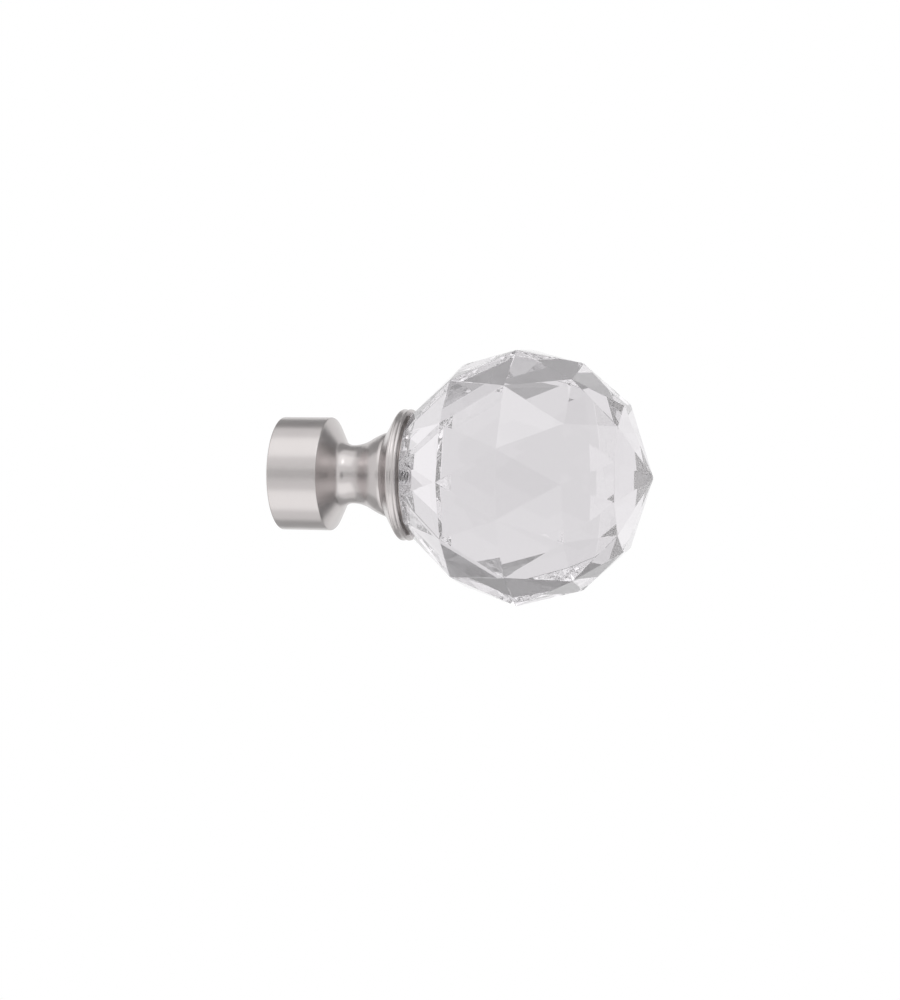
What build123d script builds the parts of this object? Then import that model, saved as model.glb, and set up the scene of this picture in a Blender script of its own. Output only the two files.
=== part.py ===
from build123d import *
from math import asin, cos, degrees, radians, sin
import os

# All sizes are in millimetres. The pole's axis is X. The origin is the centre of the
# socket's mouth, +X runs outward along the finial to the tip, and Z is up.

# The pole and the socket that slides over its end
pole_diameter = 25.0
pole_clearance = 0.3          # gap all round between the pole and the socket
socket_wall = 1.4
socket_depth = 12.0
cap_length = 12.8             # from the mouth to the sharp edge of the shoulder
edge_chamfer = 0.3            # at the mouth and along the shoulder's sharp edge

# The neck, from the sloping shoulder through the waist to the flare
shoulder_run = 2.6            # how far the shoulder rises towards the ball
shoulder_foot_radius = 9.1
waist_radius = 7.3
waist_station = 18.35         # along the axis, from the mouth
flare_middle_radius = 8.7     # where the flare turns from hollow to full
flare_middle_station = 23.3
flare_radius = 10.6           # where the flare meets the back of the collar
flare_station = 27.8

# The collar, a saucer with a rounded rim that carries the ball
collar_radius = 16.6
rim_rounding = 1.8
rim_front = 1.3               # from the widest part of the rim to the collar's front face
seat_station = 34.2           # raised land in front of the collar, where the ball sits
seat_radius = 14.2
seat_rise = 0.5               # height of the land above the collar's front face
tapped_hole_edge = 0.25       # chamfer round the hole for the stud

# The crystal ball. Every corner lies on one of five rings round the axis, and each
# ring is turned by half a facet against its neighbours.
facets_round = 12
equator_radius = 32.2         # corners of the widest ring
ring_reach = 31.5             # from the ball's centre to the corners of the other rings
tip_reach = 32.1              # from the ball's centre to the pointed tip
front_ring_angle = 35.5       # degrees from the tip, seen from the ball's centre
middle_ring_angle = 62.0
rear_ring_angle = 119.3
base_radius = 15.4            # corners of the ground flat that rests on the collar
base_reach = 27.9             # from the ball's centre back to that flat
ball_turn = -2.4              # degrees the ball is turned from square as it is screwed on

# The threaded stud that joins the ball to the collar
stud_diameter = 6.0
stud_in_ball = 7.0
stud_in_neck = 9.0
stud_point = 0.5              # chamfer at both ends
thread_clearance = 0.05       # gap all round in the tapped hole of the neck
glue_gap = 0.2                # gap all round in the hole of the ball
hole_reserve = 1.0            # depth left free past each end of the stud

# The grub screw that grips the pole, on the side of the cap away from the room
grub_diameter = 4.0
grub_length = 3.0
grub_station = 6.4            # along the axis, from the mouth
grub_turn = 35.0              # degrees below the level of the axis, at the back
grub_key_size = 2.0           # across the flats of its hexagon socket
grub_key_depth = 1.2
grub_edge = 0.3
grub_clearance = 0.05         # gap all round in its tapped hole

# Values that follow from those above
bore_radius = pole_diameter / 2 + pole_clearance
cap_radius = bore_radius + socket_wall
shoulder_foot = cap_length + shoulder_run
ball_centre = seat_station + base_reach
collar_face_station = seat_station - seat_rise
rim_station = collar_face_station - rim_front
rim_centre = collar_radius - rim_rounding
facet_step = 360 / facets_round


def turned(outline):
    """A solid turned about the X axis from a closed outline of (station, radius)."""
    return revolve(make_face(outline), axis=Axis.X)


def rod(start, end, radius):
    """A round bar along the X axis from one station to another."""
    return Pos((start + end) / 2, 0, 0) * Rot(0, 90, 0) * Cylinder(radius, end - start)


def rim_tangent():
    """Where the straight back of the collar runs into the round of its rim."""
    along = rim_station - flare_station
    outward = rim_centre - flare_radius
    reach = (along ** 2 + outward ** 2) ** 0.5
    lean = asin(outward / reach) + asin(rim_rounding / reach)
    return (
        rim_station - rim_rounding * sin(lean),
        rim_centre + rim_rounding * cos(lean),
    )


def neck_arcs():
    """The hollow from the shoulder's foot to the waist, and the flare in two arcs."""
    foot = (shoulder_foot, shoulder_foot_radius)
    waist = (waist_station, waist_radius)
    flare_middle = (flare_middle_station, flare_middle_radius)
    hollow = TangentArc(waist, foot, tangent=(-1, 0))
    lower_flare = TangentArc(waist, flare_middle, tangent=(1, 0))
    upper_flare = TangentArc(
        flare_middle, (flare_station, flare_radius), tangent=lower_flare % 1
    )
    return [hollow, lower_flare, upper_flare]


def metal_outline():
    """The outer half section of the metal base, closed along the axis."""
    back_end = rim_tangent()
    face_radius = rim_centre + (rim_rounding ** 2 - rim_front ** 2) ** 0.5
    cap = Polyline(
        (0, 0),
        (0, cap_radius),
        (cap_length, cap_radius),
        (shoulder_foot, shoulder_foot_radius),
    )
    back = Line((flare_station, flare_radius), back_end)
    rim = TangentArc(back_end, (collar_face_station, face_radius), tangent=back % 1)
    front = Polyline(
        (collar_face_station, face_radius),
        (collar_face_station, seat_radius),
        (seat_station, seat_radius),
        (seat_station, 0),
        (0, 0),
    )
    return [cap, *neck_arcs(), back, rim, front]


def edge_at(solid, station, radius):
    """The round edge of a turned solid that lies at a given station and radius."""
    round_edges = solid.edges().filter_by(GeomType.CIRCLE)
    return min(
        round_edges,
        key=lambda edge: abs(edge.arc_center.X - station) + abs(edge.radius - radius),
    )


def grub_place():
    """Frame of the grub screw. Its local +Z points out of the cap."""
    return Pos(grub_station, 0, 0) * Rot(-90 - grub_turn, 0, 0)


def metal_base():
    """Cap, neck and collar, turned from one bar, with the socket and both tapped holes."""
    base = turned(metal_outline())
    base = chamfer(edge_at(base, 0, cap_radius), edge_chamfer)
    base = chamfer(edge_at(base, cap_length, cap_radius), edge_chamfer)
    base -= rod(0, socket_depth, bore_radius)
    tapped_radius = stud_diameter / 2 + thread_clearance
    base -= rod(seat_station - stud_in_neck - hole_reserve, seat_station, tapped_radius)
    base = chamfer(edge_at(base, seat_station, tapped_radius), tapped_hole_edge)
    screw_hole = Cylinder(
        grub_diameter / 2 + grub_clearance,
        cap_radius,
        align=(Align.CENTER, Align.CENTER, Align.MIN),
    )
    return base - grub_place() * Pos(0, 0, bore_radius / 2) * screw_hole


def ring_corners(reach, angle, half_turned):
    """Corners of one ring, given by its distance and its angle from the tip's direction."""
    station = ball_centre + reach * cos(radians(angle))
    radius = reach * sin(radians(angle))
    first = ball_turn + (facet_step / 2 if half_turned else 0)
    turns = [radians(first + facet_step * count) for count in range(facets_round)]
    return [Vector(station, radius * sin(turn), radius * cos(turn)) for turn in turns]


def triangle(*corners):
    """One flat facet."""
    return make_face(Polyline(*corners, close=True))


def facet_band(plain, half_turned):
    """The triangles between a plain ring and its neighbour that is half a facet on."""
    facets = []
    for count in range(facets_round):
        following = (count + 1) % facets_round
        facets.append(triangle(plain[count], plain[following], half_turned[count]))
        facets.append(triangle(half_turned[count], half_turned[following], plain[following]))
    return facets


def cut_ball():
    """The faceted ball as a solid of flat facets, before its hole is drilled."""
    base_corner_reach = (base_radius ** 2 + base_reach ** 2) ** 0.5
    base_angle = 180 - degrees(asin(base_radius / base_corner_reach))
    front = ring_corners(ring_reach, front_ring_angle, True)
    middle = ring_corners(ring_reach, middle_ring_angle, False)
    equator = ring_corners(equator_radius, 90, True)
    rear = ring_corners(ring_reach, rear_ring_angle, False)
    base = ring_corners(base_corner_reach, base_angle, True)
    tip = Vector(ball_centre + tip_reach, 0, 0)
    facets = [
        triangle(front[count], front[(count + 1) % facets_round], tip)
        for count in range(facets_round)
    ]
    facets += facet_band(middle, front) + facet_band(middle, equator)
    facets += facet_band(rear, equator) + facet_band(rear, base)
    facets.append(triangle(*base))
    return Solid(Shell(facets))


def crystal_ball():
    """The faceted ball with the blind hole for the stud in its flat base."""
    hole_end = seat_station + stud_in_ball + hole_reserve
    return cut_ball() - rod(seat_station, hole_end, stud_diameter / 2 + glue_gap)


def threaded_stud():
    """The stud, half in the neck and half in the ball."""
    start = seat_station - stud_in_neck
    end = seat_station + stud_in_ball
    stud = rod(start, end, stud_diameter / 2)
    ends = [edge_at(stud, station, stud_diameter / 2) for station in (start, end)]
    return chamfer(ends, stud_point)


def grub_screw():
    """Hexagon socket screw, backed off until its inner end is level with the bore."""
    screw = Cylinder(
        grub_diameter / 2, grub_length, align=(Align.CENTER, Align.CENTER, Align.MIN)
    )
    screw = chamfer(screw.edges().filter_by(GeomType.CIRCLE), grub_edge)
    key_hole = extrude(
        RegularPolygon(grub_key_size / 2, 6, major_radius=False), -grub_key_depth
    )
    screw -= Pos(0, 0, grub_length) * key_hole
    return grub_place() * Pos(0, 0, bore_radius) * screw


os.makedirs("parts", exist_ok=True)
export_step(metal_base(), "parts/metal_base.step")
export_step(crystal_ball(), "parts/crystal_ball.step")
export_step(threaded_stud(), "parts/threaded_stud.step")
export_step(grub_screw(), "parts/grub_screw.step")
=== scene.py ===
# %% [markdown]
# # A crystal ball finial for a curtain pole
#
# The real object is a turned metal base, plated in satin nickel, that slides over the end
# of a curtain pole, and a ball of clear crystal cut with flat triangular facets. The frame
# brings every solid in its right place and size, so this file is about looks: crisp facets
# with tiny polished edges, clear glass, satin metal and the light of a small studio.

# %% Start from the fixed frame
import math
import bmesh
import bpy
import numpy as np
from mathutils import Matrix, Vector


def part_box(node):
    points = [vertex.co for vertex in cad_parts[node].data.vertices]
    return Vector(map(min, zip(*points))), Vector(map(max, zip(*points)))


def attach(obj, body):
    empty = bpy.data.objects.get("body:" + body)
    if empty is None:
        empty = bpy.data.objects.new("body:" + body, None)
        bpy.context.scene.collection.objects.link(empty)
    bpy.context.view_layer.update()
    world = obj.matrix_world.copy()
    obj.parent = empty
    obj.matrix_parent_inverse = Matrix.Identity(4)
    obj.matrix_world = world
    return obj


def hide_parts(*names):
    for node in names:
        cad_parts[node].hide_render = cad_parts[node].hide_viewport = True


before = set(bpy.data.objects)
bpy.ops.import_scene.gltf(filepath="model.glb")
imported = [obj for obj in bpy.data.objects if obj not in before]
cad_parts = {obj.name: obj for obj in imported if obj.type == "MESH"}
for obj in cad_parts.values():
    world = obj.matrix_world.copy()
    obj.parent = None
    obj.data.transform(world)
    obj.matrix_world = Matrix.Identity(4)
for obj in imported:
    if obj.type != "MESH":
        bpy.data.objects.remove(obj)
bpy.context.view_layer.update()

# %% [markdown]
# ## The camera
#
# The photograph looks at the finial from the front, turned a little towards the tip and
# hardly raised. A camera can be placed by hand until the picture fits, but here it is
# placed by its angles and by the pixel where one known point has to land. That point is
# the centre of the ball. The focal length is given in pixels, so the picture's scale at
# the ball is simply distance over focal length.

# %% Measure the ball and the picture
_, ball_high = (Vector(corner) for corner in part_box("crystal_ball"))
tip_reach = 0.0321                       # from the ball's centre to its tip
ball_centre = Vector((ball_high.x - tip_reach, 0.0, 0.0))

picture_width, picture_height = 900, 1000
ball_pixel = (524.2, 476.5)              # where the ball's centre lands
scale = 0.0325 / 132.2                   # metres per pixel at the ball's centre
focal_pixels = 2200.0
camera_degrees = (14.45, 1.77, 0.49)     # azimuth, elevation and roll
print("ball's centre:", ball_centre[:], "millimetres per pixel:", round(scale * 1000, 4))

# %% [markdown]
# The camera's own axes come from its three angles. It stands straight back from the ball
# by its distance and is then moved sideways and up, so that the ball's centre lands on
# its pixel. Its view stays parallel to the same axes, so the move changes no angle.

# %% Place the camera
azimuth, elevation, roll = (math.radians(a) for a in camera_degrees)
back = Vector((math.sin(azimuth) * math.cos(elevation),
               -math.cos(azimuth) * math.cos(elevation), math.sin(elevation)))
level_right = Vector((math.cos(azimuth), math.sin(azimuth), 0.0))
level_up = back.cross(level_right)
right = math.cos(roll) * level_right + math.sin(roll) * level_up
up = math.cos(roll) * level_up - math.sin(roll) * level_right
camera_place = ball_centre + scale * (
    focal_pixels * back
    - (ball_pixel[0] - picture_width / 2) * right
    + (ball_pixel[1] - picture_height / 2) * up
)

camera_data = bpy.data.cameras.new("camera")
camera_data.sensor_fit, camera_data.sensor_width = "AUTO", 36.0
focal_share = focal_pixels / max(picture_width, picture_height)
camera_data.lens = camera_data.sensor_width * focal_share
camera = bpy.data.objects.new("camera", camera_data)
bpy.context.scene.collection.objects.link(camera)
camera_turn = Matrix((right, up, back)).transposed().to_4x4()
camera.matrix_world = Matrix.Translation(camera_place) @ camera_turn
bpy.context.scene.camera = camera
print("camera at", [round(v, 4) for v in camera_place], "lens", round(camera_data.lens, 2))

# %% [markdown]
# ## Shader maths as plain Python
#
# A material is a small program of nodes. They could be drawn by hand in the Shader Editor,
# but a mask with ten Math nodes is hard to read there. One class wraps an output of a
# node, and Python's operators on it add the Math nodes, so a mask reads like a formula.
# Every other node comes from its method `add`, which takes the node's type, its settings,
# and the values or wires of its sockets.

# %% A wrapper for node sockets
class Wire:
    """One value that runs between nodes. Arithmetic on it adds Math nodes."""

    def __init__(self, tree, socket=None):
        self.tree, self.socket = tree, socket

    def add(self, kind, settings=None, inputs=None, output=0):
        """Add one node, settings first, then its inputs, and return one of its outputs."""
        node = self.tree.nodes.new(kind)
        for name, value in (settings or {}).items():
            setattr(node, name, value)
        for name, value in (inputs or {}).items():
            if isinstance(value, Wire):
                self.tree.links.new(value.socket, node.inputs[name])
            else:
                node.inputs[name].default_value = value
        return Wire(self.tree, node.outputs[output] if len(node.outputs) else None)

    def beside(self, output):
        """Another output of the same node."""
        return Wire(self.tree, self.socket.node.outputs[output])

    def maths(self, operation, first, second):
        return self.add("ShaderNodeMath", {"operation": operation}, {0: first, 1: second})

    def __add__(self, other): return self.maths("ADD", self, other)
    def __radd__(self, other): return self.maths("ADD", other, self)
    def __sub__(self, other): return self.maths("SUBTRACT", self, other)
    def __rsub__(self, other): return self.maths("SUBTRACT", other, self)
    def __mul__(self, other): return self.maths("MULTIPLY", self, other)
    def __rmul__(self, other): return self.maths("MULTIPLY", other, self)
    def __pow__(self, other): return self.maths("POWER", self, other)
    def __rpow__(self, other): return self.maths("POWER", other, self)

    def rise(self, low, high):
        """0 below low, 1 above high, and a smooth rise between them."""
        return self.add("ShaderNodeMapRange", {"interpolation_type": "SMOOTHSTEP"},
                        {"Value": self, "From Min": low, "From Max": high})

    def noise(self, place, scale, detail=2.0):
        """A noise texture between 0 and 1 at a place, with a size of 1 / scale."""
        return self.add("ShaderNodeTexNoise",
                        inputs={"Vector": place, "Scale": scale, "Detail": detail})

    def blend(self, first, second):
        """The first colour where this wire is 0 and the second where it is 1."""
        first, second = (c if isinstance(c, Wire) else (*c, 1.0) for c in (first, second))
        return self.add("ShaderNodeMix", {"data_type": "RGBA"},
                        {"Factor": self, "A": first, "B": second}, 2)

    def bump(self, strength, distance=0.0001):
        """The tilt of the surface where this wire is its height, in units of distance."""
        return self.add("ShaderNodeBump", inputs={
            "Height": self, "Strength": strength, "Distance": distance})


print("what a wire can do:", [name for name in vars(Wire) if not name.startswith("__")])

# %% [markdown]
# Every material here starts and ends alike. It starts from Object coordinates, the place
# on the piece in metres, because they stay on the piece in every view and need no
# unwrapping. It ends in one Principled shader.

# %% How a material starts and ends
def new_material(name):
    """An empty node material, a wire to start from, and its Object coordinates."""
    material = bpy.data.materials.new(name)
    material.use_nodes = True
    material.node_tree.nodes.clear()
    start = Wire(material.node_tree)
    return material, start, start.add("ShaderNodeTexCoord", output="Object")


def split(place):
    """The x, y and z of a place, in metres, and its distance from the finial's axis."""
    x = place.add("ShaderNodeSeparateXYZ", inputs={0: place})
    y, z = x.beside("Y"), x.beside("Z")
    return x, y, z, (y * y + z * z) ** 0.5


def surface(start, **inputs):
    """Finish a material with a Principled shader. Underscores in names stand for spaces."""
    named = {name.replace("_", " "): value for name, value in inputs.items()}
    shader = start.add("ShaderNodeBsdfPrincipled", inputs=named)
    start.add("ShaderNodeOutputMaterial", inputs={"Surface": shader})


print("materials that came with the frame:", len(bpy.data.materials))

# %% [markdown]
# ## Satin nickel
#
# The base is turned, brushed while it spins and then plated, so the fine lines run round
# the axis. A picture of brushed metal would have to be wrapped on, but a pattern that
# depends on the station along the axis and on the distance from it gives such lines on
# the barrel, the cone and the flat faces alike. They are kept very faint, because a satin
# plating shows wide soft reflections and hardly any lines.
#
# The ball is glued to the raised land in front of the collar. The glue is far too thin to
# be a piece of its own, so it is a mask on the land: paler there, and less of a metal.

# %% Make the satin nickel
turned_lines = 9000.0                    # lines per metre
boring_marks = 22000.0                   # radians per metre: a mark every 0.29 mm
bore_radius, socket_depth = 0.0128, 0.0120
seat = 0.0342                            # the station of the land, where the ball rests


def satin_nickel():
    """Turned lines by station and radius, soft patches and fine grain. Inside the socket
    the lines are the coarse marks of a boring tool, and the land has its film of glue."""
    material, start, place = new_material("satin_nickel")
    x, _, _, radius = split(place)
    turned = start.add("ShaderNodeCombineXYZ",
                       inputs={0: x * turned_lines, 1: radius * turned_lines, 2: 0.0})
    lines = start.noise(turned, 1.0)
    patches = start.noise(place, 160.0, 3.0)
    grain = start.noise(place, 5000.0, 1.0)
    past_wall = radius.rise(bore_radius + 0.00005, bore_radius + 0.00015)
    in_socket = (1.0 - past_wall) * (1.0 - x.rise(socket_depth, socket_depth + 0.0002))
    marks = start.add("ShaderNodeMath", {"operation": "SINE"}, {0: (x + radius) * boring_marks})
    on_land = x.rise(seat - 0.0001, seat - 0.00002) * radius.rise(0.0032, 0.0034)
    glue = on_land * (0.75 + 0.25 * patches)
    relief = 0.6 * lines + 0.4 * grain + in_socket * (0.5 * marks + lines)
    metal = patches.blend((0.545, 0.515, 0.511), (0.570, 0.541, 0.537))
    surface(
        start,
        Base_Color=glue.blend(metal, (0.86, 0.855, 0.86)),
        Metallic=1.0 - 0.6 * glue,
        Roughness=0.205 + 0.05 * lines + 0.04 * patches + 0.14 * in_socket,
        Normal=relief.bump(0.05),
    )
    return material


nickel = satin_nickel()
print("nickel nodes:", len(nickel.node_tree.nodes))

# %% [markdown]
# ## The turned metal base
#
# On a lathe the base is one outline spun about the axis, and a numpy surface can be made
# in just that way. The frame's solid has the main outline. This finer one adds what a
# form tool leaves on the real piece: softened edges, and two narrow lips with a shallow
# channel between them round the rim. A bevel on the frame's solid couldn't give the
# lips, so the outline is drawn anew, from straight lines and arcs.

# %% Lines and arcs for an outline
def line(start, end, steps=2):
    """Evenly spaced points on a straight line."""
    return np.linspace(start, end, steps)


def arc(centre, radius, start, end, steps):
    """Points at centre + radius * (sin a, cos a), a in degrees from straight outward."""
    a = np.radians(np.linspace(start, end, steps))
    return np.column_stack([centre[0] + radius * np.sin(a), centre[1] + radius * np.cos(a)])


def sweep(start, end, slope, steps):
    """Arc from start to end that leaves start at a given slope: its turn is twice the
    angle between that slope and the chord, and each point lies along a chord of its own."""
    start, end = np.array(start), np.array(end)
    along, outward = end - start
    chord = math.atan2(outward, along)
    half_turn = chord - math.radians(slope)
    t = np.linspace(0, 1, steps)
    reach = np.hypot(along, outward) * np.sin(half_turn * t) / math.sin(half_turn)
    lean = math.radians(slope) + half_turn * t
    return start + np.column_stack([reach * np.cos(lean), reach * np.sin(lean)])


waist, shoulder_foot = (18.35, 7.3), (15.4, 9.1)
foot_arc = sweep(waist, shoulder_foot, 180.0, 25)[::-1]
print("hollow behind the waist, in mm, from", foot_arc[0].round(2), "to", foot_arc[-1].round(2))

# %% [markdown]
# The rim of the collar is a round of 1.8 mm. Each lip is a smaller round that touches it
# from inside, 34 degrees to either side of its top. The channel between them is an arc
# that bends the other way, and it meets each lip where the lip slopes down by 40 degrees.

# %% Work out the rim's two lips and its channel
rim_centre, rim_radius = (32.4, 14.8), 1.8
rim_turn, lip_end = 34.0, 40.0           # degrees
lip_radius = 0.42
lip_reach = rim_radius - lip_radius
lip_side = lip_reach * math.sin(math.radians(rim_turn))
lip_out = lip_reach * math.cos(math.radians(rim_turn))
rear_lip = (rim_centre[0] - lip_side, rim_centre[1] + lip_out)
front_lip = (rim_centre[0] + lip_side, rim_centre[1] + lip_out)

end_sine, end_cosine = math.sin(math.radians(lip_end)), math.cos(math.radians(lip_end))
channel_radius = (lip_side - lip_radius * end_sine) / end_sine
channel_out = rim_centre[1] + lip_out + (lip_radius + channel_radius) * end_cosine
channel_depth = rear_lip[1] + lip_radius - (channel_out - channel_radius)
print("channel's radius and depth, in mm:", round(channel_radius, 3), round(channel_depth, 3))

# %% [markdown]
# The whole outline goes once round the half section, from the middle of the socket's
# floor to the end of the stud's hole, as points of (station, radius) in millimetres. The
# rounds get more points than the straight lines, because only they have to look smooth.

# %% Draw the outline
outline = np.vstack([
    [(12.0, 0.0)], line((12.0, 4.0), (12.0, 12.5), 4),               # the socket's floor
    line((11.7, 12.8), (0.25, 12.8), 24),                            # its wall, to the mouth
    line((0.0, 13.0), (0.0, 13.85), 3), arc((0.35, 13.85), 0.35, -90, 0, 6)[1:],
    line((1.0, 14.2), (12.3, 14.2), 12),                             # the cap's barrel
    arc((12.45, 13.85), 0.35, 0, 63, 6), line((12.9, 13.79), (15.3, 9.29), 6),
    foot_arc[1:],                                                    # the hollow to the waist
    sweep(waist, (23.3, 8.7), 0.0, 22)[1:],                          # the flare
    sweep((23.3, 8.7), (26.8, 10.42), 31.6, 12)[1:],
    sweep((26.8, 10.42), (27.75, 10.6), 20.8, 8)[1:],
    line((27.85, 10.69), (30.80, 15.63), 8),                         # the collar's back
    arc(rim_centre, rim_radius, -59.2, -rim_turn, 6)[1:],            # its rim, with the lips
    arc(rear_lip, lip_radius, -rim_turn, lip_end, 12)[1:],
    arc((rim_centre[0], channel_out), channel_radius, 180 + lip_end, 180 - lip_end, 12)[1:],
    arc(front_lip, lip_radius, -lip_end, rim_turn, 12)[1:],
    arc(rim_centre, rim_radius, rim_turn, 46.2, 4)[1:],
    line((33.7, 15.9), (33.7, 14.3), 5),                             # its face
    line((33.8, 14.2), (34.1, 14.2)),
    line((34.2, 14.1), (34.2, 3.35), 8),                             # the land for the ball
    line((33.95, 3.05), (24.2, 3.05), 8), [(23.3, 0.0)],             # the stud's hole
]) / 1000
widest = outline[:, 1].max() * 1000
print("points in the outline:", len(outline), "largest radius:", round(widest, 3), "mm")

# %% [markdown]
# ## Closed meshes
#
# Every piece here is a closed skin, as a solid part is. Numpy makes the corners and faces,
# and one pass in bmesh merges what meets, turns all faces outward and counts the edges
# that are still open. Smooth shading with sharp edges then makes the rounds look round
# and keeps the corners crisp, without more faces.

# %% Close a mesh and place it as a piece
def close_skin(mesh, sharp=35.0):
    """Merge doubles, point the faces outward, and smooth all but the sharp edges."""
    skin = bmesh.new()
    skin.from_mesh(mesh)
    bmesh.ops.remove_doubles(skin, verts=skin.verts, dist=2e-7)
    bmesh.ops.dissolve_degenerate(skin, edges=skin.edges, dist=1e-7)
    bmesh.ops.recalc_face_normals(skin, faces=skin.faces)
    volume = round(skin.calc_volume(signed=True) * 1e9, 1)
    open_edges = sum(not edge.is_manifold for edge in skin.edges)
    print(mesh.name, "faces:", len(skin.faces), "cubic mm:", volume, "open edges:", open_edges)
    skin.to_mesh(mesh)
    skin.free()
    mesh.shade_smooth()
    mesh.set_sharp_from_angle(angle=math.radians(sharp))
    return mesh


def solid_mesh(name, corners, faces, sharp=35.0):
    """A closed mesh with outward faces, smooth but for its sharp edges."""
    mesh = bpy.data.meshes.new(name)
    mesh.from_pydata(np.asarray(corners).tolist(), [], faces)
    return close_skin(mesh, sharp)


def place_piece(name, mesh, node, material):
    """Put a finished mesh in the scene as the piece that stands for a node of the frame."""
    piece = bpy.data.objects.new(name, mesh)
    bpy.context.scene.collection.objects.link(piece)
    piece.data.materials.append(material)
    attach(piece, "root")
    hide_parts(node)
    print(name, "stands for", node, "with", len(mesh.polygons), "faces")
    return piece


# %% [markdown]
# A spun surface is a grid: its first parameter runs along the outline, its second is the
# angle. Blender's Screw modifier does the same, but the grid gives the two poles a clean
# fan and needs no modifier.

# %% Spin the outline
def spun(name, outline, around):
    """Point (i, j) is (station i, radius i * sin t, radius i * cos t), t = j / around of a turn.
    The outline starts and ends on the axis, so both ends close in a fan at one pole."""
    turn = 2 * math.pi * np.arange(around) / around
    ring = outline[1:-1]
    stations = np.repeat(ring[:, :1], around, 1)
    grid = np.stack([stations, ring[:, 1:] * np.sin(turn), ring[:, 1:] * np.cos(turn)], axis=-1)
    poles = [[outline[0, 0], 0, 0], [outline[-1, 0], 0, 0]]
    corners = np.vstack([grid.reshape(-1, 3), poles])

    j = np.arange(around)
    after = (j + 1) % around
    row = np.arange(len(ring) - 1)[:, None] * around
    quads = np.stack([row + j, row + after, row + around + after, row + around + j], axis=-1)
    last = (len(ring) - 1) * around
    pole = np.full(around, len(ring) * around)
    fans = np.vstack([np.column_stack([pole, after, j]),
                      np.column_stack([pole + 1, last + j, last + after])])
    return solid_mesh(name, corners, [*quads.reshape(-1, 4).tolist(), *fans.tolist()])


steps_round = 144
blank_mesh = spun("turned_blank", outline, steps_round)
print("degrees from one step to the next:", 360 / steps_round)

# %% [markdown]
# ## The hole for the set screw
#
# One small set screw at the back of the cap, low down, grips the pole. Its hole crosses
# the round wall at an angle that no outline can have, so it is drilled as in the
# workshop: a round bar is laid along the screw's axis and a Boolean takes it away. The
# result is kept as a mesh, so no modifier and no bar is left in the scene.

# %% Lay out the set screw's axis
screw_station = 0.0064                           # along the finial, from the mouth
screw_angle = math.radians(125)                  # from straight up, towards the back
screw_axis = np.array([0.0, math.sin(screw_angle), math.cos(screw_angle)])
screw_across = np.array([1.0, 0.0, 0.0])
screw_origin = screw_station * screw_across + bore_radius * screw_axis
print("the screw points along", screw_axis.round(3), "from", (screw_origin * 1000).round(2), "mm")

# %% Take a round bar away
def drilled(mesh, name, radius, origin, axis, across, depth, around=64):
    """Cut a round hole of a given depth, from the origin along the axis. The bar's corners
    go from (a, b, c) to origin + a * axis + b * across + c * third direction."""
    bar = np.array([[0, 0], [0, radius], [depth, radius], [depth, 0]])
    cutter_mesh = spun(name + "_cutter", bar, around)
    corners = np.empty(len(cutter_mesh.vertices) * 3)
    cutter_mesh.vertices.foreach_get("co", corners)
    basis = np.array([axis, across, np.cross(axis, across)])
    cutter_mesh.vertices.foreach_set("co", (corners.reshape(-1, 3) @ basis + origin).ravel())
    cutter = bpy.data.objects.new(name + "_cutter", cutter_mesh)
    body = bpy.data.objects.new(name + "_body", mesh)
    for thing in (cutter, body):
        bpy.context.scene.collection.objects.link(thing)
    cut = body.modifiers.new("cut", "BOOLEAN")
    cut.operation, cut.solver, cut.object = "DIFFERENCE", "EXACT", cutter
    finished_body = body.evaluated_get(bpy.context.evaluated_depsgraph_get())
    done = bpy.data.meshes.new_from_object(finished_body)
    for thing in (cutter, body):
        bpy.data.objects.remove(thing, do_unlink=True)
    done.name = name
    return close_skin(done)


print("corners of the blank before drilling:", len(blank_mesh.vertices))

# %% [markdown]
# The hole is 0.05 mm wider all round than the screw. The bar starts well inside the
# socket and ends outside the wall, so it cuts cleanly through both skins.

# %% Drill the base and place it
hole_for_screw = 0.00205                         # its radius
bar_start, bar_length = screw_origin - 0.006 * screw_axis, 0.012
base_mesh = drilled(blank_mesh, "turned_base", hole_for_screw, bar_start,
                    screw_axis, screw_across, bar_length)
place_piece("turned_base", base_mesh, "metal_base", nickel)

# %% [markdown]
# ## Threads on the stud and the set screw
#
# A screw thread is a wall that climbs one pitch for each turn. It could be only bump in
# the material, but the screw's end stands proud at the back and there the thread is seen
# from the side. If the rows of a grid climb as well, every edge of the thread lies exactly
# along a row, and four rows for each pitch draw the whole profile: two for the crest and
# two for the root. At both ends the rows are held at the end of the rod and squeezed onto
# a 45 degree cone, which makes the chamfer that a real screw starts with.

# %% Lay out the rows of a thread
rod_steps = 48                                           # corners round a threaded rod
row_phase = np.array([0, 1 / 8, 7 / 16, 11 / 16])        # where in a pitch each row starts
row_depth = 0.613 * np.array([0, 0, 1, 1])               # in pitches, below the crest


def thread_rows(length, crest, pitch, end_radius, around):
    """Row i at turn t stands at (i's place in the pitch + t) * pitch, held inside the rod,
    with radius crest - depth, or end_radius + distance to the nearest end if that is less."""
    pitches = math.ceil(length / pitch) + 2
    turn = np.arange(around) / around
    s = ((np.arange(pitches)[:, None] + row_phase).reshape(-1, 1) - 1 + turn) * pitch
    s = np.clip(s, 0, length)
    r = np.broadcast_to(crest - np.tile(row_depth * pitch, pitches)[:, None], s.shape)
    return s, np.minimum(r, end_radius + np.minimum(s, length - s))


print("the four rows of a pitch start at", row_phase, "of it")

# %% [markdown]
# A rod is its thread with a few plain rings at either end, and those give a flat face, a
# cup point or a key's socket. The rows are joined in quads. After a full turn a row of
# the thread has climbed one pitch, so there it is joined to the row four places on.

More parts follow.
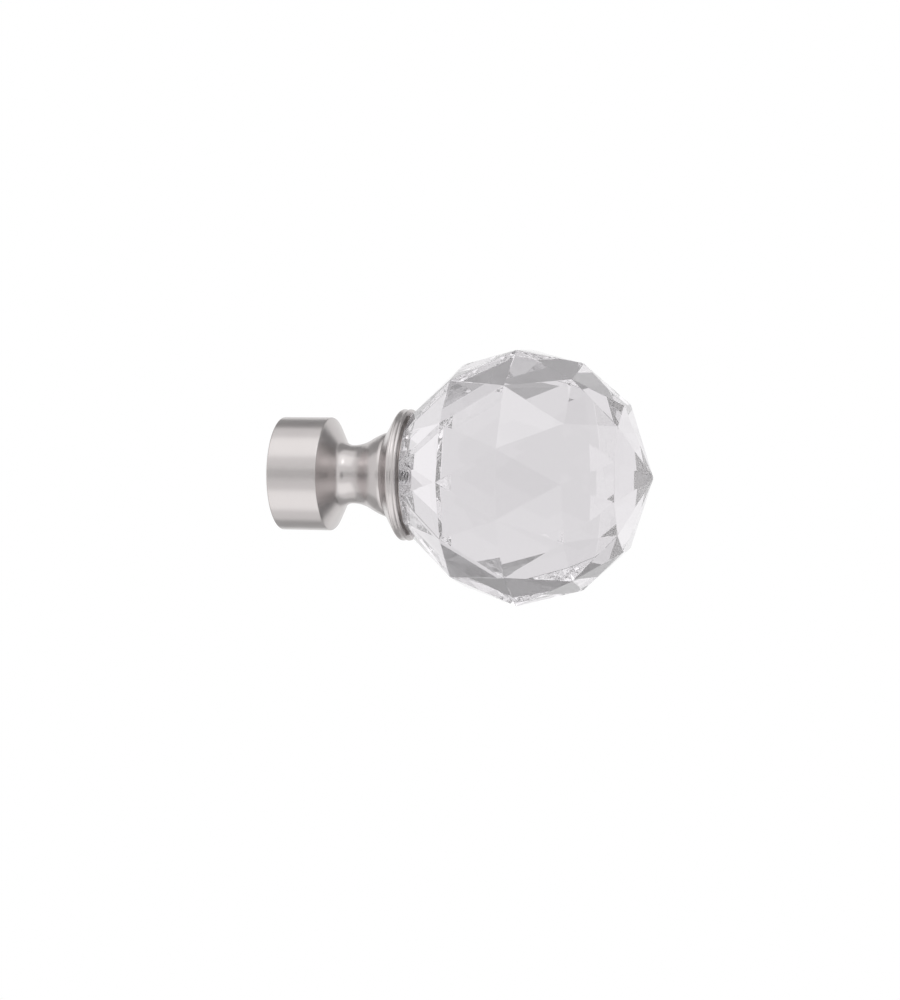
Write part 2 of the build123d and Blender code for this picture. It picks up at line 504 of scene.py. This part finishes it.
# %% Wind a thread round a rod
def threaded_rod(name, origin, axis, across, length, crest, pitch, end_radius, heads):
    """Point = origin + s * axis + r * (cos t * across + sin t * third direction). heads
    gives, for the first and the last end, rings of (distance inward, radius)."""
    around = rod_steps
    s, r = thread_rows(length, crest, pitch, end_radius, around)
    first, last = heads[0][::-1], heads[1]
    stations = np.vstack([*(np.full(around, inward) for inward, _ in first), s,
                          *(np.full(around, length - inward) for inward, _ in last)])
    radii = np.vstack([*(radius + np.zeros(around) for _, radius in first), r,
                       *(radius + np.zeros(around) for _, radius in last)])
    angle = 2 * math.pi * np.arange(around) / around
    third = np.cross(axis, across)
    outward = np.cos(angle)[:, None] * across + np.sin(angle)[:, None] * third
    corners = origin + stations[..., None] * axis + radii[..., None] * outward

    onward = np.arange(len(stations))
    thread = slice(len(first), len(first) + len(s))
    onward[thread] = np.minimum(onward[thread] + len(row_phase), thread.stop - 1)
    here = np.arange(len(stations))[:, None] * around + np.arange(around)
    beside = np.where(np.arange(around) == around - 1, onward[:, None] * around, here + 1)
    quads = np.stack([here[:-1], beside[:-1], beside[1:], here[1:]], axis=-1)
    return solid_mesh(name, corners.reshape(-1, 3), quads.reshape(-1, 4).tolist(), sharp=30.0)


print("quads in a turn of thread:", len(row_phase) * rod_steps)

# %% [markdown]
# The stud is M6, 9 mm of it in the neck and 7 mm in the ball. The set screw is M4, with
# a cup point that bites into the pole and a hexagon socket for the key. A ring whose
# radius changes with the angle draws the hexagon, and a ring of radius 0 closes an end.

# %% Wind the stud and the set screw
on_axis = 0.0                                            # the radius of a closed end
across_flats = 0.0020                                    # of the hexagon
ring_angle = 2 * math.pi * np.arange(rod_steps) / rod_steps
to_flat = (ring_angle + math.pi / 6) % (math.pi / 3) - math.pi / 6
hexagon = across_flats / 2 / np.cos(to_flat)

stud_start, stud_axis, stud_across = np.array([[0.0252, 0, 0], [1, 0, 0], [0, 1, 0]])
stud_mesh = threaded_rod(
    "stud_thread", stud_start, stud_axis, stud_across,
    length=0.016, crest=0.003, pitch=0.001, end_radius=0.00236,
    heads=([(0.0, on_axis)], [(0.0, on_axis)]))
screw_mesh = threaded_rod(
    "set_screw", screw_origin, screw_axis, screw_across,
    length=0.003, crest=0.002, pitch=0.0007, end_radius=0.00155,
    heads=([(0.0, 0.0011), (0.0004, on_axis)],
           [(0.0, 0.00125), (0.0001, hexagon), (0.0012, hexagon), (0.0014, on_axis)]))
print("corner of the hexagon, in mm from its middle:", round(hexagon.max() * 1000, 3))

# %% [markdown]
# ## Two small steels
#
# The stud is bright zinc, which settles in faint clouds and gets rubbed on the crests of
# the thread. The set screw is blackened steel, a little worn where a key has turned in
# its socket. One plain colour would look like plastic, so both have a wear mask, which
# is a distance worked out from the place on the piece.

# %% Plate the stud
def zinc_plate():
    """Bluish zinc with faint cloudy patches, brighter on the crests of the thread."""
    material, start, place = new_material("zinc_plate")
    radius = split(place)[-1]
    clouds = start.noise(place, 700.0, 3.0)
    crest = radius.rise(0.00280, 0.00298)
    scratches = start.noise(place, 9000.0)
    surface(
        start,
        Base_Color=(0.6 * clouds + 0.4 * crest).blend((0.20, 0.21, 0.22), (0.70, 0.70, 0.69)),
        Metallic=1.0,
        Roughness=0.36 - 0.12 * crest + 0.10 * clouds,
        Normal=scratches.bump(0.1, 0.00005),
    )
    return material


place_piece("stud_thread", stud_mesh, "threaded_stud", zinc_plate())

# %% [markdown]
# The set screw lies across the finial, so its wear can't go by the distance from the
# finial's axis. It goes by the distance from the screw's own axis: what is left of the
# place when its part along that axis is taken away.

# %% Blacken the set screw
def blackened_steel():
    """Nearly black oxide that goes grey where the key rubs and on the thread's crests."""
    material, start, place = new_material("blackened_steel")
    x, y, z, _ = split(place)
    axis_y, axis_z = float(screw_axis[1]), float(screw_axis[2])
    along = y * axis_y + z * axis_z
    off_x, off_y, off_z = x - screw_station, y - along * axis_y, z - along * axis_z
    off_axis = (off_x * off_x + off_y * off_y + off_z * off_z) ** 0.5
    mottle = start.noise(place, 2500.0, 3.0)
    on_crest, in_key_hole = off_axis.rise(0.00175, 0.0020), 1.0 - off_axis.rise(0.00115, 0.00135)
    rubbed = (on_crest + in_key_hole) * mottle
    surface(
        start,
        Base_Color=rubbed.blend((0.055, 0.055, 0.06), (0.34, 0.34, 0.35)),
        Metallic=1.0,
        Roughness=0.34 + 0.16 * mottle,
        Normal=mottle.bump(0.12, 0.00005),
    )
    return material


place_piece("set_screw", screw_mesh, "grub_screw", blackened_steel())

# %% [markdown]
# ## The cut crystal
#
# The corners of the ball lie on rings round the axis, each ring turned half a facet
# against its neighbours, so every facet is a flat triangle. An icosphere would be close
# at first sight, but a cutter lays the facets out round an axis, row by row. The corners
# are worked out as one array, and the faces are picked by index.

# %% Work out the rings of corners
facets_round = 12
facet_step = 2 * math.pi / facets_round
ball_turn = math.radians(-2.4)           # how the ball happened to end when screwed on
glass_gap = 0.00002                      # keeps the glass off the face of the metal


def ring(station, radius, half_turned):
    """Corners at equal angles round the X axis: (station, r sin t, r cos t)."""
    facet = np.arange(facets_round) + 0.5 * half_turned
    angle = ball_turn + facet * 2 * math.pi / facets_round
    return np.column_stack([np.full(facets_round, station),
                            radius * np.sin(angle), radius * np.cos(angle)])


def polar(reach, degrees_from_tip):
    """Station and radius of a ring, from its distance and angle at the ball's centre."""
    angle = math.radians(degrees_from_tip)
    return ball_centre.x + reach * math.cos(angle), reach * math.sin(angle)


tip = np.array([[ball_high.x, 0.0, 0.0]])
rings = [
    ring(*polar(0.0315, 35.5), True),    # round the tip
    ring(*polar(0.0315, 62.0), False),
    ring(*polar(0.0322, 90.0), True),    # the widest
    ring(*polar(0.0315, 119.3), False),
    ring(seat + glass_gap, 0.0154, True),  # the edge of the flat base
]
print("stations of the rings, in mm:", [round(one[0, 0] * 1000, 2) for one in rings])

# %% [markdown]
# Between two rings that are half a facet apart the triangles stand in turn on the one
# ring and on the other. Which corner comes next depends on which of the two is turned,
# so the even and the odd bands are picked differently.

# %% Join the corners with triangles
def fan_and_bands(first):
    """Triangles by index: a fan at the tip, then bands between neighbouring rings. first
    has the index of each ring's first corner."""
    around = np.arange(facets_round)
    after = (around + 1) % facets_round
    parts = [np.column_stack([np.zeros_like(around), first[0] + after, first[0] + around])]
    for number, (front, rear) in enumerate(zip(first[:-1], first[1:])):
        if number % 2 == 0:
            parts.append(np.column_stack([front + around, rear + after, rear + around]))
            parts.append(np.column_stack([front + around, front + after, rear + after]))
        else:
            parts.append(np.column_stack([front + around, front + after, rear + around]))
            parts.append(np.column_stack([front + after, rear + after, rear + around]))
    return np.vstack(parts)


first_corner = [1 + facets_round * number for number in range(len(rings))]
facets = fan_and_bands(first_corner)
print("corners:", facets.max() + 1, "facets:", len(facets))

# %% [markdown]
# The stud needs a blind hole in the ball's flat base. A Boolean would do, but the base is
# so plain that its faces can be laid out one by one: the hole has a multiple of the ball's
# number of facets round it, so the base splits into twelve neat pieces between the two.

# %% Lay out the flat base and the drilled hole
hole_radius, hole_end, drill_point = 0.0032, 0.0418, 0.0004
hole_steps = 4                           # corners of the hole for each corner of the base
hole_count = facets_round * hole_steps


def hole_rings():
    """Corners of the hole, (station, r sin t, r cos t) at its mouth and at its end."""
    stations = np.array([seat + glass_gap, hole_end])
    angle = ball_turn + (0.5 + np.arange(hole_count) / hole_steps) * facet_step
    station, angle = np.meshgrid(stations, angle, indexing="ij")
    return np.stack(
        [station, hole_radius * np.sin(angle), hole_radius * np.cos(angle)], axis=-1
    ).reshape(-1, 3)


def base_and_hole(base_first, hole_first):
    """Flat base as one piece per facet, the wall of the hole and its conical end."""
    around = np.arange(facets_round)
    steps = np.arange(hole_steps, -1, -1)
    inner = hole_first + (around[:, None] * hole_steps + steps) % hole_count
    base = np.column_stack([base_first + around, base_first + (around + 1) % facets_round, inner])
    turn = np.arange(hole_count)
    after = (turn + 1) % hole_count
    wall = np.column_stack([turn, after, after + hole_count, turn + hole_count])
    point = np.full(hole_count, 2 * hole_count)
    end = np.column_stack([turn + hole_count, after + hole_count, point])
    return base, wall + hole_first, end + hole_first


print("corners round the hole:", hole_count, "its wall in mm:", round((hole_end - seat) * 1e3, 1))

# %% [markdown]
# All of it is joined into one skin. The ball is cut flat and has to look flat, so its
# faces are shaded flat, and only the round wall of the hole is marked smooth.

# %% Make the ball one closed skin
def build_crystal():
    """The ball as one closed skin: facets, flat base, wall and end of the hole."""
    hole = np.vstack([hole_rings(), [[hole_end + drill_point, 0.0, 0.0]]])
    corners = np.vstack([tip, *rings, hole])
    base, wall, end = base_and_hole(first_corner[-1], 1 + facets_round * len(rings))
    faces = [*facets.tolist(), *base.tolist(), *wall.tolist(), *end.tolist()]
    mesh = bpy.data.meshes.new("cut_crystal")
    mesh.from_pydata(corners.tolist(), [], faces)
    smooth = np.zeros(len(faces), dtype=bool)
    smooth[len(facets) + len(base):len(facets) + len(base) + len(wall)] = True
    mesh.polygons.foreach_set("use_smooth", smooth)
    skin = bmesh.new()
    skin.from_mesh(mesh)
    bmesh.ops.recalc_face_normals(skin, faces=skin.faces)
    print("crystal's volume in cubic mm:", round(skin.calc_volume(signed=True) * 1e9))
    skin.to_mesh(mesh)
    skin.free()
    mesh.validate()
    return mesh


crystal_mesh = build_crystal()
print("crystal's faces before its edges are polished:", len(crystal_mesh.polygons))

# %% [markdown]
# ## Clear crystal
#
# The glass is clear, and its colour is set grey, darker than clear crystal is: painted
# shade that stands in for the dimmer parts of the room seen through the ball. Its index
# of refraction of 1.54 is that of lead-free cut crystal, and it bends light so much that
# each facet mirrors the room from inside. A very slight waviness keeps the polished faces
# from looking drawn.
# The facets are polished, but the flat base and the wall of the hole are ground and
# chipped, so they are rough, by a mask of the place on the piece. Under the base, glue
# joins the glass to the plated metal. Glass that is wetted by glue has no mirror of its
# own there: what shows through is the metal, so the mask makes the base metallic. Where a
# small bubble is left in the glue, the glass stays glass.

# %% Make the clear crystal
# The grey colour of the glass is painted shade: it darkens everything seen through the ball.
painted_shade_tint, seen_through_glue = (0.693, 0.673, 0.694), (0.92, 0.92, 0.91)


def clear_crystal():
    """Polished glass, ground at the base and in the drilled hole, and glued at the base."""
    material, start, place = new_material("clear_crystal")
    x, _, _, radius = split(place)
    ground_base = 1.0 - x.rise(seat + 0.00002, seat + 0.00012)
    past_wall = radius.rise(hole_radius + 0.00005, hole_radius + 0.00015)
    ground_wall = (1.0 - past_wall) * (1.0 - x.rise(hole_end + 0.0006, hole_end + 0.0008))
    ground = start.maths("MAXIMUM", ground_base, ground_wall)
    bubbles = start.noise(place, 1100.0, 2.0)
    chips = start.noise(place, 1500.0, 2.0)
    waves = start.noise(place, 120.0, 1.0)
    glued = ground_base * bubbles.rise(0.26, 0.40)
    relief = 0.02 * waves + (2.5 * ground_wall + 0.6 * ground_base) * chips
    surface(
        start,
        Base_Color=glued.blend(painted_shade_tint, seen_through_glue),
        Metallic=glued,
        Roughness=0.10 * ground + 0.40 * glued,
        IOR=1.54,
        Transmission_Weight=1.0,
        Normal=relief.bump(1.0),
    )
    return material


crystal = clear_crystal()
print("crystal nodes:", len(crystal.node_tree.nodes))

# %% [markdown]
# A real cut edge is never a perfect line: polishing leaves it about a tenth of a
# millimetre wide, and that narrow face catches the light. A Bevel modifier with one
# segment makes just such a face along every edge between facets.

# %% Place the ball and polish its edges
cut_crystal = place_piece("cut_crystal", crystal_mesh, "crystal_ball", crystal)
polish = cut_crystal.modifiers.new("polished_edges", "BEVEL")
polish.width, polish.segments = 0.0001, 1
polish.limit_method, polish.angle_limit = "ANGLE", math.radians(10)
print("polished edges are", round(polish.width * 1000, 2), "mm wide")

# %% [markdown]
# ## A studio of sheets
#
# Clear glass shows nothing but the room, so the room is built with care. Everything in it
# is a sheet that faces the ball, given by its direction, distance and size: that is how a
# photographer places cards round a glass object.

# %% Build sheets that face the ball
def direction(azimuth, elevation):
    """Unit vector from the ball, azimuth 0 towards -Y and 90 towards +X, in degrees."""
    a, e = math.radians(azimuth), math.radians(elevation)
    return Vector((math.sin(a) * math.cos(e), -math.cos(a) * math.cos(e), math.sin(e)))


def sheet(name, azimuth, elevation, distance, width, height, material, sag=0.04, steps=9):
    """A sheet facing the ball, bowed a little: centre + u * across + v * along - bow, where
    the bow is sag times the shorter side times (u * u + v * v)."""
    outward = direction(azimuth, elevation)
    across = Vector((0, 0, 1)).cross(outward).normalized()
    along = outward.cross(across)
    u, v = np.meshgrid(np.linspace(-1, 1, steps), np.linspace(-1, 1, steps), indexing="ij")
    bow = -sag * min(width, height) * (u * u + v * v)
    axes = np.array([across * width / 2, along * height / 2, outward])
    points = np.stack([u, v, bow], axis=-1) @ axes + np.array(ball_centre + distance * outward)
    corner = (np.arange(steps - 1)[:, None] * steps + np.arange(steps - 1)).ravel()
    faces = np.column_stack([corner, corner + steps, corner + steps + 1, corner + 1])
    mesh = bpy.data.meshes.new(name)
    mesh.from_pydata(points.reshape(-1, 3).tolist(), [], faces.tolist())
    mesh.shade_smooth()
    made = bpy.data.objects.new(name, mesh)
    bpy.context.scene.collection.objects.link(made)
    made.data.materials.append(material)
    return made


to_camera = direction(*camera_degrees[:2])
print("straight at the camera:", [round(v, 3) for v in to_camera])

# %% [markdown]
# The backdrop and the floor have to look white, in the picture and through the glass, and
# still keep the light on the object plain. So their material is white by itself for rays
# from the camera, for reflections and for rays through glass. For all other light it is
# plain matt paper.

# %% Make the white sheet
def white_sheet():
    """White to the camera, and to the metal and glass in front of it."""
    material, start, place = new_material("white_sheet")
    camera_ray = start.add("ShaderNodeLightPath", output="Is Camera Ray")
    seen = camera_ray
    for kind in ("Is Glossy Ray", "Is Transmission Ray"):
        seen = start.maths("MAXIMUM", seen, camera_ray.beside(kind))
    fibres = start.noise(place, 6.0).blend((0.85,) * 3, (0.82,) * 3)
    matt = start.add("ShaderNodeBsdfDiffuse", inputs={"Color": fibres})
    white = start.add("ShaderNodeEmission",
                      inputs={"Color": (1.0, 1.0, 1.0, 1.0), "Strength": 1.0})
    mixed = start.add("ShaderNodeMixShader", inputs={0: seen, 1: matt, 2: white})
    start.add("ShaderNodeOutputMaterial", inputs={"Surface": mixed})
    return material


white = white_sheet()
print("white sheet nodes:", len(white.node_tree.nodes))

# %% [markdown]
# The cards are matt paper in several greys. In even light a card looks as bright as its
# paper is, near or far. So the grey sets the tone that a facet shows, and size and
# distance set only how much of the room the card covers.

# %% Make the grey papers
def paper(name, grey):
    """Matt paper with a faint cloudiness, of a given grey."""
    material, start, place = new_material(name)
    clouds = start.noise(place, 6.0)
    surface(start, Base_Color=clouds.blend((grey,) * 3, (0.96 * grey,) * 3), Roughness=0.95)
    return material


dark = paper("dark_card", 0.20)
grey_card = paper("grey_card", 0.40)
upper_card = paper("upper_card", 0.46)
lower_card = paper("lower_card", 0.60)
pale_card = paper("pale_card", 0.70)
front_card = paper("front_card", 0.86)
print("papers:", [name for name in bpy.data.materials.keys() if name.endswith("_card")])

# %% [markdown]
# The backdrop stands far behind the ball, square to the camera, and is a little larger
# than what the camera sees there. The finial hangs in the air, so the floor lies well
# below it, and the shadow on it stays out of the picture.

# %% Stand the backdrop up and lay the floor
opposite = (camera_degrees[0] - 180, -camera_degrees[1])
backdrop = sheet("backdrop", *opposite, 5.0, 2.85, 3.15, white, sag=0.0)
floor = sheet("floor", 0, -90, 1.1, 4.0, 3.4, white, sag=0.0)
for one in (backdrop, floor):
    print(one.name, "spans, in metres:", [round(side, 2) for side in one.dimensions])

# %% [markdown]
# ## Cards
#
# In an all-white room clear glass and bright metal would fade into the backdrop. Cards
# give them their tones: one where the camera stands for the darker middle of the metal,
# bars above and below the backdrop for the dark edges in the glass, and smaller ones at
# the sides for single facets. The camera itself can't see the cards, only the object
# shows them.

# %% Stand the cards round the ball
# name, azimuth, elevation, distance, width, height, paper
cards = [
    ("camera_side", 12, -3, 0.75, 0.34, 0.26, grey_card),
    ("front_strip", -26, 0, 0.85, 0.86, 0.28, front_card),
    ("bar_above", 170, 57, 0.9, 1.5, 0.62, upper_card),
    ("bar_below", 170, -56, 0.9, 1.5, 0.60, lower_card),
    ("right_side", 116, 0, 0.95, 0.66, 1.10, pale_card),
    ("left_above", -110, 42, 0.8, 0.60, 0.30, upper_card),
    ("left_below", -114, -42, 0.8, 0.60, 0.30, lower_card),
    ("flag_above", 134, 24, 0.8, 0.26, 0.16, dark),
    ("flag_below", 128, -32, 0.8, 0.26, 0.26, dark),
]
for card in cards:
    sheet(*card).visible_camera = False
print("cards:", len(cards))

# %% [markdown]
# ## Lamps and the room's own light
#
# The room is a plain white world of strength 1, at which a colour renders about as it is
# written. An area lamp adds its light to what lies behind it, so each soft box needs only
# a little more than the room has. The two large ones, above and below the camera, give
# the bright bands on the metal, and the small one brightens a single facet of the ball.
# Those at the left and behind only lift the sides a little. A lamp's power follows from
# how bright its face should be and from its area.

# %% Hang the soft boxes
def soft_box(name, azimuth, elevation, distance, width, height, radiance):
    """A soft box facing the ball. Its power is 4 times radiance times the face's area."""
    data = bpy.data.lights.new(name, "AREA")
    data.shape, data.size, data.size_y = "RECTANGLE", width, height
    data.energy = 4 * radiance * width * height
    outward = direction(azimuth, elevation)
    box = bpy.data.objects.new(name, data)
    bpy.context.scene.collection.objects.link(box)
    box_turn = (-outward).to_track_quat("-Z", "Y").to_matrix().to_4x4()
    box.matrix_world = Matrix.Translation(ball_centre + distance * outward) @ box_turn
    box.visible_camera = False
    print(name, "power in watts:", round(data.energy, 2))


# name, azimuth, elevation, distance, width, height, radiance
soft_box("upper_soft_box", 4, 58, 0.6, 1.05, 0.48, 0.32)
soft_box("upper_lamp", 10, 49, 0.6, 0.16, 0.16, 0.90)
soft_box("lower_soft_box", 4, -57, 0.5, 0.90, 0.42, 0.34)
soft_box("left_soft_box", -117, -8, 0.8, 0.80, 1.00, 0.12)
soft_box("rear_soft_box", 157, -6, 0.8, 0.24, 0.50, 0.18)

# %% [markdown]
# Light that enters a cut ball is often mirrored many times inside before it gets out. With
# the usual few bounces such paths end too soon and leave black slivers, so the limit is
# high. The Standard view shows each colour as it is.

# %% Set the world and the bounces
world = bpy.data.worlds.new("studio")
bpy.context.scene.world = world
world.use_nodes = True
world.node_tree.nodes.clear()
room = Wire(world.node_tree).add(
    "ShaderNodeBackground", inputs={"Color": (1.0, 1.0, 1.0, 1.0), "Strength": 1.0})
room.add("ShaderNodeOutputWorld", inputs={"Surface": room})

scene = bpy.context.scene
scene.view_settings.view_transform = "Standard"
inside_the_ball = 64
scene.cycles.transmission_bounces = inside_the_ball
scene.cycles.glossy_bounces = inside_the_ball
scene.cycles.max_bounces = inside_the_ball
print("bounces:", scene.cycles.max_bounces, "view:", scene.view_settings.view_transform)

# %% [markdown]
